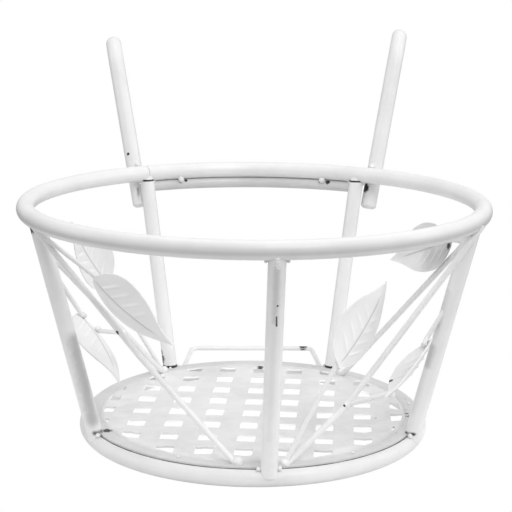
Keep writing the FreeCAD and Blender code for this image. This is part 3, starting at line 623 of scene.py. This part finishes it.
# The first streak is a narrow worn mark; the other two are soft painted shade down the front.
FRONT_UPRIGHT_WEAR_AND_SHADE = [
    ((9.0, -125.8, 99.7), (9.1, -124.6, 94.8), 0.8, 1.0),
    ((8.7, -131.9, 124.0), (8.2, -125.2, 97.0), 3.0, 0.26),
    ((8.2, -125.2, 97.0), (6.4, -108.5, 30.0), 2.4, 0.06),
]
SIDE_UPRIGHT_SPOTS = [((-112.0, -53.8, 98.3), 1.7), ((-119.5, -58.6, 130.2), 3.2)]
# The first, third and fourth streaks are soft painted shade on the inner sides of the left and right
# uprights; the second and the last are dark marks at their feet.
SIDE_UPRIGHT_MARKS_AND_SHADE = [
    ((-98.6, -52.8, 67.5), (-89.5, -48.7, 20.0), 6.2, 0.42),
    ((-89.0, -48.4, 12.0), (-85.4, -44.6, 12.0), 2.2, 0.9),
    ((104.0, -54.8, 95.0), (88.4, -47.2, 25.0), 3.6, 0.12),
    ((97.0, -51.4, 63.0), (95.0, -50.4, 53.0), 4.4, 0.36),
    ((85.0, -45.0, 11.6), (89.6, -48.6, 11.6), 1.6, 1.0),
]
BACK_UPRIGHT_SPOTS = [((-58.3, 85.2, 15.5), 4.2), ((-58.0, 86.0, 20.0), 2.6)]


def level_shade_group():
    """Mask of a ragged dark band of painted shade round a level."""
    tree, gets, gives = new_group("level_shade", [], ["Level", "Reach"], ["Mask"])
    place = place_on_rack(tree)
    ragged = rough_noise(tree, place, scale=420.0, detail=3.0, roughness=0.6)
    _, height = radius_and_height(tree, place)
    away = sums(tree, "ABSOLUTE", sums(tree, "SUBTRACT", height, gets["Level"]))
    share = sums(tree, "DIVIDE", away, gets["Reach"])
    feed(tree, gives["Mask"], ramp(tree, sums(tree, "ADD", share, ragged), *CORNER_SHADE_FADE))
    return tree


dress("front_upright", enamel("front_upright_enamel", chip_share=NO_CHIPS, spots=FRONT_UPRIGHT_SPOTS,
                              streaks=FRONT_UPRIGHT_WEAR_AND_SHADE))
upright_enamel = enamel("upright_enamel", chip_share=NO_CHIPS, spots=SIDE_UPRIGHT_SPOTS,
                        streaks=SIDE_UPRIGHT_MARKS_AND_SHADE)
for side in ("left", "right"):
    dress(side + "_upright", upright_enamel)
back_upright_enamel = enamel("back_upright_enamel", spots=BACK_UPRIGHT_SPOTS)
level_shade = level_shade_group()
# Painted shade: dark bands in the corners at the feet and heads of the back uprights.
for level, reach in ((PLATE_TOP, FOOT_SHADE), (HEAD_LINE, HEAD_SHADE)):
    corner_shade = use_group(back_upright_enamel.node_tree, level_shade, {"Level": level * MM, "Reach": reach * MM})
    lay_over(back_upright_enamel, corner_shade["Mask"], DARK_IRON_AND_SHADE)
for side in ("back_left", "back_right"):
    dress(side + "_upright", back_upright_enamel)

# Hooks: solid rod against the outside of the top ring, bent over to the back to hang on a rail.
# They are welded to the ring and painted with it.
HOOK_SPOTS = [((-80.9, 116.7, 145.7), 1.1), ((74.5, 110.0, 125.1), 3.2)]
HOOK_STREAKS = [((-74.2, 109.7, 124.0), (-73.4, 109.0, 114.0), 1.6, 0.6)]
hook_enamel = enamel("hook_enamel", spots=HOOK_SPOTS, streaks=HOOK_STREAKS)
for side in ("left", "right"):
    dress(side + "_hook", hook_enamel)

# Brace and spacer: a rod welded under the back of the top ring, and a wire bow behind the base that keeps the
# hanging rack off the railing. Both are bent from round iron and painted.
BRACE_SHADED_WHITE, BRACE_SHADED_GREY = 0.63, 0.56
BRACE_SPOTS = [
    ((-43.3, 119.9, 127.9), 1.2),
    ((-46.5, 118.4, 127.5), 1.0),
    ((50.2, 117.0, 127.7), 1.6),
    ((46.0, 119.0, 127.9), 1.5),
]
SPACER_SPOTS = [((37.5, 149.0, 6.0), 3.5)]
# Painted shade: the brace's enamel is greyer, for the shade under the top ring.
dress("back_brace", enamel("shaded_brace_enamel", white=BRACE_SHADED_WHITE, grey=BRACE_SHADED_GREY, spots=BRACE_SPOTS))
dress("rear_spacer", enamel("spacer_enamel", spots=SPACER_SPOTS))

# Leaves: six leaves cut from sheet, folded along the middle, bowed, and pressed with a middle line and side
# veins. Each is brazed to a wire stalk and painted. Sizes in mm; a leaf has its panel between two uprights,
# its base and tip as shares along and up the panel with a distance outwards, and the way that it faces.
LEAF_LENGTH = 56.0
LEAF_HALF = 13.5
LEAF_WIDEST = 19.5
LEAF_SIDE = 41.0
LEAF_TAPER = 41.0
LEAF_SHEET = 0.8
LEAF_CURL = 118.0
FOLD_SLOPE = math.tan(math.radians(24.0))
FOLD_ROUND = 3.0
ROWS_ALONG = 140
ROWS_ACROSS = 60
RIB_DEPTH = 0.35
RIB_HALF = 0.45
RIB_START_FADE = (0.0, 5.0)
RIB_END_FADE = (40.0, 50.0)
VEIN_RISE = 0.55
VEIN_HALF = 0.60
VEIN_STARTS = (7.0, 14.0, 21.5, 29.0)
VEIN_SLANT = 1.0
VEIN_START_FADE = (0.4, 2.0)
VEIN_REACH = 0.82
VEIN_FADE = 0.55
LEAST_REACH = 0.5
GROOVE_EDGE = -0.05
GROOVE_SHADE = 0.40
RIDGE_EDGE = 0.1
RIDGE_HIGHLIGHT = 0.45
# Painted light and shade: the lit coat is a lighter copy of the leaf paint, on the two front leaves, and the
# grey coat a darker copy, on the back right leaf.
LEAF_PAINTS = {"lit": (0.90, 0.82), "even": (0.83, 0.75), "grey": (0.86, 0.74)}
LEAF_COATS = {"front_right_leaf": "lit", "front_left_leaf": "lit", "back_right_leaf": "grey"}
LEAF_CHIPS = 0.06
LEAF_BUMP = 0.04
# The second spot is a painted shadow at the base of the back right leaf; the grey leaf's streak is painted
# shade over it.
LEAF_SPOTS_AND_SHADOW = [((71.9, -75.2, 51.4), 1.6), ((105.0, -42.0, 118.3), 2.4)]
LEAF_PAINTED_SHADE = {"grey": [((105.0, -42.0, 114.0), (99.0, -30.0, 109.0), 15.0, 0.37)]}
FOOT_RADIUS = 99.5
FRONT, LEFT, RIGHT, BACK_LEFT, BACK_RIGHT = 274.0, 206.0, 334.0, 122.0, 58.0
LEAF_PANELS = {"front_right": (FRONT, RIGHT), "back_left": (BACK_LEFT, LEFT),
               "back_right": (BACK_RIGHT, RIGHT), "front_left": (FRONT, LEFT)}
LEAVES = {
    "front_right_leaf": ("front_right", (0.386, 0.419, -1.4), (0.718, 0.707, -18.5), (0.10, 0.33, 0.94)),
    "front_left_leaf": ("front_left", (0.763, 0.791, 5.7), (0.420, 0.545, 7.6), (0.10, -0.08, 0.99)),
    "back_left_leaf": ("back_left", (0.555, 0.575, 0), (0.735, 0.90, 0), (-0.66, -0.48, 0.58)),
    "back_right_leaf": ("back_right", (0.92, 0.90, -3.2), (0.640, 0.712, -14.5), (-0.30, 0.13, 0.95)),
    "left_twig_leaf": ("back_left", (0.775, 0.508, 7.4), (1.014, 0.227, -23.2), (-0.05, 0.63, -0.77)),
    "right_twig_leaf": ("front_right", (0.925, 0.459, 0), (0.51, 0.365, 23.5), (0.47, -0.60, 0.65)),
}


def on_upright(azimuth, share):
    """Place on the middle line of an upright, from its foot on the plate to its head in the top ring."""
    way = Vector((math.cos(math.radians(azimuth)), math.sin(math.radians(azimuth)), 0.0))
    foot = way * FOOT_RADIUS + Vector((0.0, 0.0, PLATE_TOP))
    head = way * RING_RADIUS + Vector((0.0, 0.0, RING_HEIGHT))
    return foot.lerp(head, share)


def panel_axes(base_azimuth, head_azimuth):
    """Ways along a panel, up it and out of it."""
    along = (on_upright(head_azimuth, 0) - on_upright(base_azimuth, 0)).normalized()
    rise = (on_upright(base_azimuth, 1) - on_upright(base_azimuth, 0) + on_upright(head_azimuth, 1)
            - on_upright(head_azimuth, 0)).normalized()
    outward = along.cross(rise)
    if outward.dot(on_upright(base_azimuth, 0)) < 0:
        outward.negate()
    return along, rise, outward


def panel_point(panel, along, share, out):
    """Place in a panel, by shares along it and up it and a distance outwards."""
    base_azimuth, head_azimuth = LEAF_PANELS[panel]
    between = on_upright(base_azimuth, share).lerp(on_upright(head_azimuth, share), along)
    return between + panel_axes(base_azimuth, head_azimuth)[2] * out


def arc_height(radius, away):
    """Height of a circle over its middle, at a distance from the middle to the side."""
    return math.sqrt(radius ** 2 - away ** 2)


def leaf_half_width(x):
    """Half the leaf's width at a distance from its base: round base, full sides, hollow sides at the tip."""
    if x <= LEAF_WIDEST:
        base_round = (LEAF_WIDEST ** 2 + LEAF_HALF ** 2) / (2 * LEAF_HALF)
        return LEAF_HALF - base_round + arc_height(base_round, x - LEAF_WIDEST)
    if x <= LEAF_TAPER:
        return LEAF_HALF - LEAF_SIDE + arc_height(LEAF_SIDE, x - LEAF_WIDEST)
    start = Vector((LEAF_TAPER, leaf_half_width(LEAF_TAPER)))
    past_widest = LEAF_TAPER - LEAF_WIDEST
    outward = Vector((past_widest, arc_height(LEAF_SIDE, past_widest))) / LEAF_SIDE
    chord = start - Vector((LEAF_LENGTH, 0.0))
    hollow = -chord.length_squared / (2 * outward.dot(chord))
    middle = start + outward * hollow
    return max(0.0, middle.y - math.sqrt(max(0.0, hollow ** 2 - (x - middle.x) ** 2)))


def leaf_pressing(x, y):
    """How far the middle line and the veins are pressed out of the sheet."""
    along = fade(x, *RIB_START_FADE) * (1 - fade(x, *RIB_END_FADE))
    pressed = -RIB_DEPTH * math.exp(-(y / RIB_HALF) ** 2) * along
    reach = max(LEAST_REACH, VEIN_REACH * leaf_half_width(x))
    for start in VEIN_STARTS:
        away = (x - start - VEIN_SLANT * abs(y)) / math.hypot(1.0, VEIN_SLANT)
        shown = fade(abs(y), *VEIN_START_FADE) * (1 - fade(abs(y), VEIN_FADE * reach, reach))
        pressed += VEIN_RISE * math.exp(-(away / VEIN_HALF) ** 2) * shown
    return pressed


def leaf_height(x, y):
    """Height of the bowed and folded sheet over the line from the leaf's base to its tip."""
    bow = arc_height(LEAF_CURL, x - LEAF_LENGTH / 2) - arc_height(LEAF_CURL, LEAF_LENGTH / 2)
    return bow - FOLD_SLOPE * (math.hypot(y, FOLD_ROUND) - FOLD_ROUND)


def leaf_sheet(name, place):
    """One leaf of pressed sheet, put in its place."""
    flat = [Vector((0.0, 0.0))]
    for row in range(1, ROWS_ALONG):
        x = LEAF_LENGTH * (1 - math.cos(math.pi * row / ROWS_ALONG)) / 2
        half = leaf_half_width(x)
        flat += [Vector((x, half * (2 * column / ROWS_ACROSS - 1))) for column in range(ROWS_ACROSS + 1)]
    flat.append(Vector((LEAF_LENGTH, 0.0)))
    wide = ROWS_ACROSS + 1
    faces = [[column + 1, column + 2, 0] for column in range(ROWS_ACROSS)]
    for row in range(ROWS_ALONG - 2):
        start = 1 + row * wide
        faces += [[start + column, start + wide + column, start + wide + column + 1, start + column + 1]
                  for column in range(ROWS_ACROSS)]
    last = 1 + (ROWS_ALONG - 2) * wide
    faces += [[last + column, len(flat) - 1, last + column + 1] for column in range(ROWS_ACROSS)]
    middle = [Vector((x, y, leaf_height(x, y) + leaf_pressing(x, y))) for x, y in flat]
    half_sheet = Vector((0.0, 0.0, LEAF_SHEET / 2))
    upper = [place @ (point + half_sheet) for point in middle]
    lower = [place @ (point - half_sheet) for point in middle]
    sheet = thick_sheet(name, upper, lower, faces)
    pressing = sheet.data.attributes.new("pressing", "FLOAT", "POINT")
    pressing.data.foreach_set("value", [leaf_pressing(x, y) for x, y in flat] * 2)
    return sheet


def pressed_lines_group():
    """Masks of the painted shade in the leaf's pressed line and of the painted highlight on the tops of its
    veins.
    """
    tree, _, gives = new_group("pressed_lines", [], [], ["Groove", "Ridge"])
    pressing = new_node(tree, "ShaderNodeAttribute", attribute_name="pressing").outputs["Fac"]
    feed(tree, gives["Groove"], ramp(tree, pressing, GROOVE_EDGE, -RIB_DEPTH, high=GROOVE_SHADE))
    feed(tree, gives["Ridge"], ramp(tree, pressing, RIDGE_EDGE, VEIN_RISE, high=RIDGE_HIGHLIGHT))
    return tree


pressed_lines = pressed_lines_group()
leaf_enamels = {}
for label, (white, grey) in LEAF_PAINTS.items():
    leaf_enamel = enamel(label + "_leaf_enamel", white=white, grey=grey, chip_share=LEAF_CHIPS,
                         bump=LEAF_BUMP, spots=LEAF_SPOTS_AND_SHADOW, streaks=LEAF_PAINTED_SHADE.get(label, ()))
    lines = use_group(leaf_enamel.node_tree, pressed_lines, {})
    # Painted shade in the pressed middle line, and a painted highlight on the tops of the veins.
    lay_over(leaf_enamel, lines["Groove"], DARK_IRON_AND_SHADE)
    lay_over(leaf_enamel, lines["Ridge"], WHITE)
    leaf_enamels[label] = leaf_enamel
for name, (panel, base, tip, facing) in LEAVES.items():
    base_place = panel_point(panel, *base)
    x_way = (panel_point(panel, *tip) - base_place).normalized()
    face = sum((axis * share for share, axis in zip(facing, panel_axes(*LEAF_PANELS[panel]))), Vector())
    z_way = (face - x_way * face.dot(x_way)).normalized()
    leaf_turn = Matrix((x_way, z_way.cross(x_way), z_way)).transposed()
    leaf = leaf_sheet("pressed_" + name, Matrix.Translation(base_place) @ leaf_turn.to_4x4())
    leaf.data.materials.append(leaf_enamels[LEAF_COATS.get(name, "even")])
    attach(leaf, "root")
    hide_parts(name)

# Stems, stalks and twigs: round wire that runs from the foot of one upright to the top of the next, with thin
# wire that carries the leaves. All are welded and painted.
WIRE_CHIP_FINENESS = 420.0
WIRE_CHIPS = 0.16
WIRE_SPOTS = [((-58.5, 82.5, 14.5), 6.0), ((-73.6, -74.2, 77.1), 1.3)]
wire_enamel = enamel("wire_enamel", chip_fineness=WIRE_CHIP_FINENESS, chip_share=WIRE_CHIPS, spots=WIRE_SPOTS)
for node in nodes:
    if node.endswith(("_stem", "_stalk", "_twig")):
        dress(node, wire_enamel)

# Welds: small lumpy beads run by hand where the pieces meet, left rough and painted over. Each lies where the
# solid bead of its group does; a run of weld and paint hangs down the front of the front upright's top. Sizes
# in mm; the run's beads have their drop below its top and their radius.
BEAD_FINENESS = 3
BEAD_FILL = 0.86
SMALL_FILLS = {"upright_top_welds": 0.50, "upright_foot_welds": 0.62, "plate_welds": 0.50}
BEAD_LUMPS = 0.22
LUMPS_ROUND = 1.7
LUMP_START, LUMP_STEP = Vector((0.0, 1.9, 0.4)), Vector((5.3, 0.0, 0.0))
FINE_LUMPS_ROUND = 4.1
FINE_LUMP_START, FINE_LUMP_STEP = Vector((2.2, 0.0, 6.0)), Vector((0.0, 3.1, 0.0))
FINE_LUMP_SHARE = 0.4
RUN_TOP = Vector((8.9, -132.4, 130.5))
RUN_BEADS = ((0.0, 1.7), (1.6, 1.9), (3.2, 1.7), (4.7, 1.4), (6.0, 1.0))
RUN_LEAN = 0.25
SAME_VERTEX = 1e-6
WELD_CHIP_FINENESS = 420.0
WELD_CHIPS = 0.2
WELD_BUMP = 0.12
WELD_SPOTS = [((-57.5, 83.0, 12.5), 7.0), ((-86.0, -36.0, 11.5), 4.0), ((46.9, -81.6, 39.3), 1.0)]


def bead_middles(node):
    """Middle and reach in mm of each solid bead of a group."""
    group = nodes[node]
    shape = bmesh.new()
    shape.from_mesh(group.data)
    shape.transform(group.matrix_world)
    bmesh.ops.remove_doubles(shape, verts=shape.verts, dist=SAME_VERTEX)
    left = set(shape.verts)
    beads = []
    while left:
        near = [left.pop()]
        found = list(near)
        while near:
            following = []
            for vert in near:
                for edge in vert.link_edges:
                    other = edge.other_vert(vert)
                    if other in left:
                        left.remove(other)
                        following.append(other)
            found += following
            near = following
        low = Vector([min(vert.co[axis] for vert in found) for axis in range(3)]) / MM
        high = Vector([max(vert.co[axis] for vert in found) for axis in range(3)]) / MM
        beads.append(((low + high) / 2, (high - low).length / (2 * math.sqrt(3))))
    shape.free()
    return sorted(beads, key=lambda bead: tuple(bead[0]))


def lumpy_beads(name, beads):
    """One mesh of hand-run beads, each given by its middle and its radius in mm."""
    shape = bmesh.new()
    for number, (middle, radius) in enumerate(beads):
        lump_place = LUMP_START + number * LUMP_STEP
        fine_place = FINE_LUMP_START + number * FINE_LUMP_STEP
        made = bmesh.ops.create_icosphere(shape, subdivisions=BEAD_FINENESS, radius=1.0)
        for vert in made["verts"]:
            way = vert.co.normalized()
            lump = noise.noise(way * LUMPS_ROUND + lump_place)
            lump += FINE_LUMP_SHARE * noise.noise(way * FINE_LUMPS_ROUND + fine_place)
            vert.co = (middle + way * radius * (1 + BEAD_LUMPS * lump)) * MM
    for face in shape.faces:
        face.smooth = True
    mesh = bpy.data.meshes.new(name)
    shape.to_mesh(mesh)
    shape.free()
    return link(name, mesh)


weld_enamel = enamel("weld_enamel", chip_fineness=WELD_CHIP_FINENESS, chip_share=WELD_CHIPS, bump=WELD_BUMP,
                     spots=WELD_SPOTS)
for node in sorted(nodes):
    if not node.endswith("_welds"):
        continue
    fill = SMALL_FILLS.get(node, BEAD_FILL)
    beads = [(middle, reach * fill) for middle, reach in bead_middles(node)]
    if node == "upright_top_welds":
        beads += [(RUN_TOP - Vector((0.0, -RUN_LEAN * drop, drop)), radius) for drop, radius in RUN_BEADS]
    welds = lumpy_beads("rough_" + node, beads)
    welds.data.materials.append(weld_enamel)
    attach(welds, "root")
    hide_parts(node)
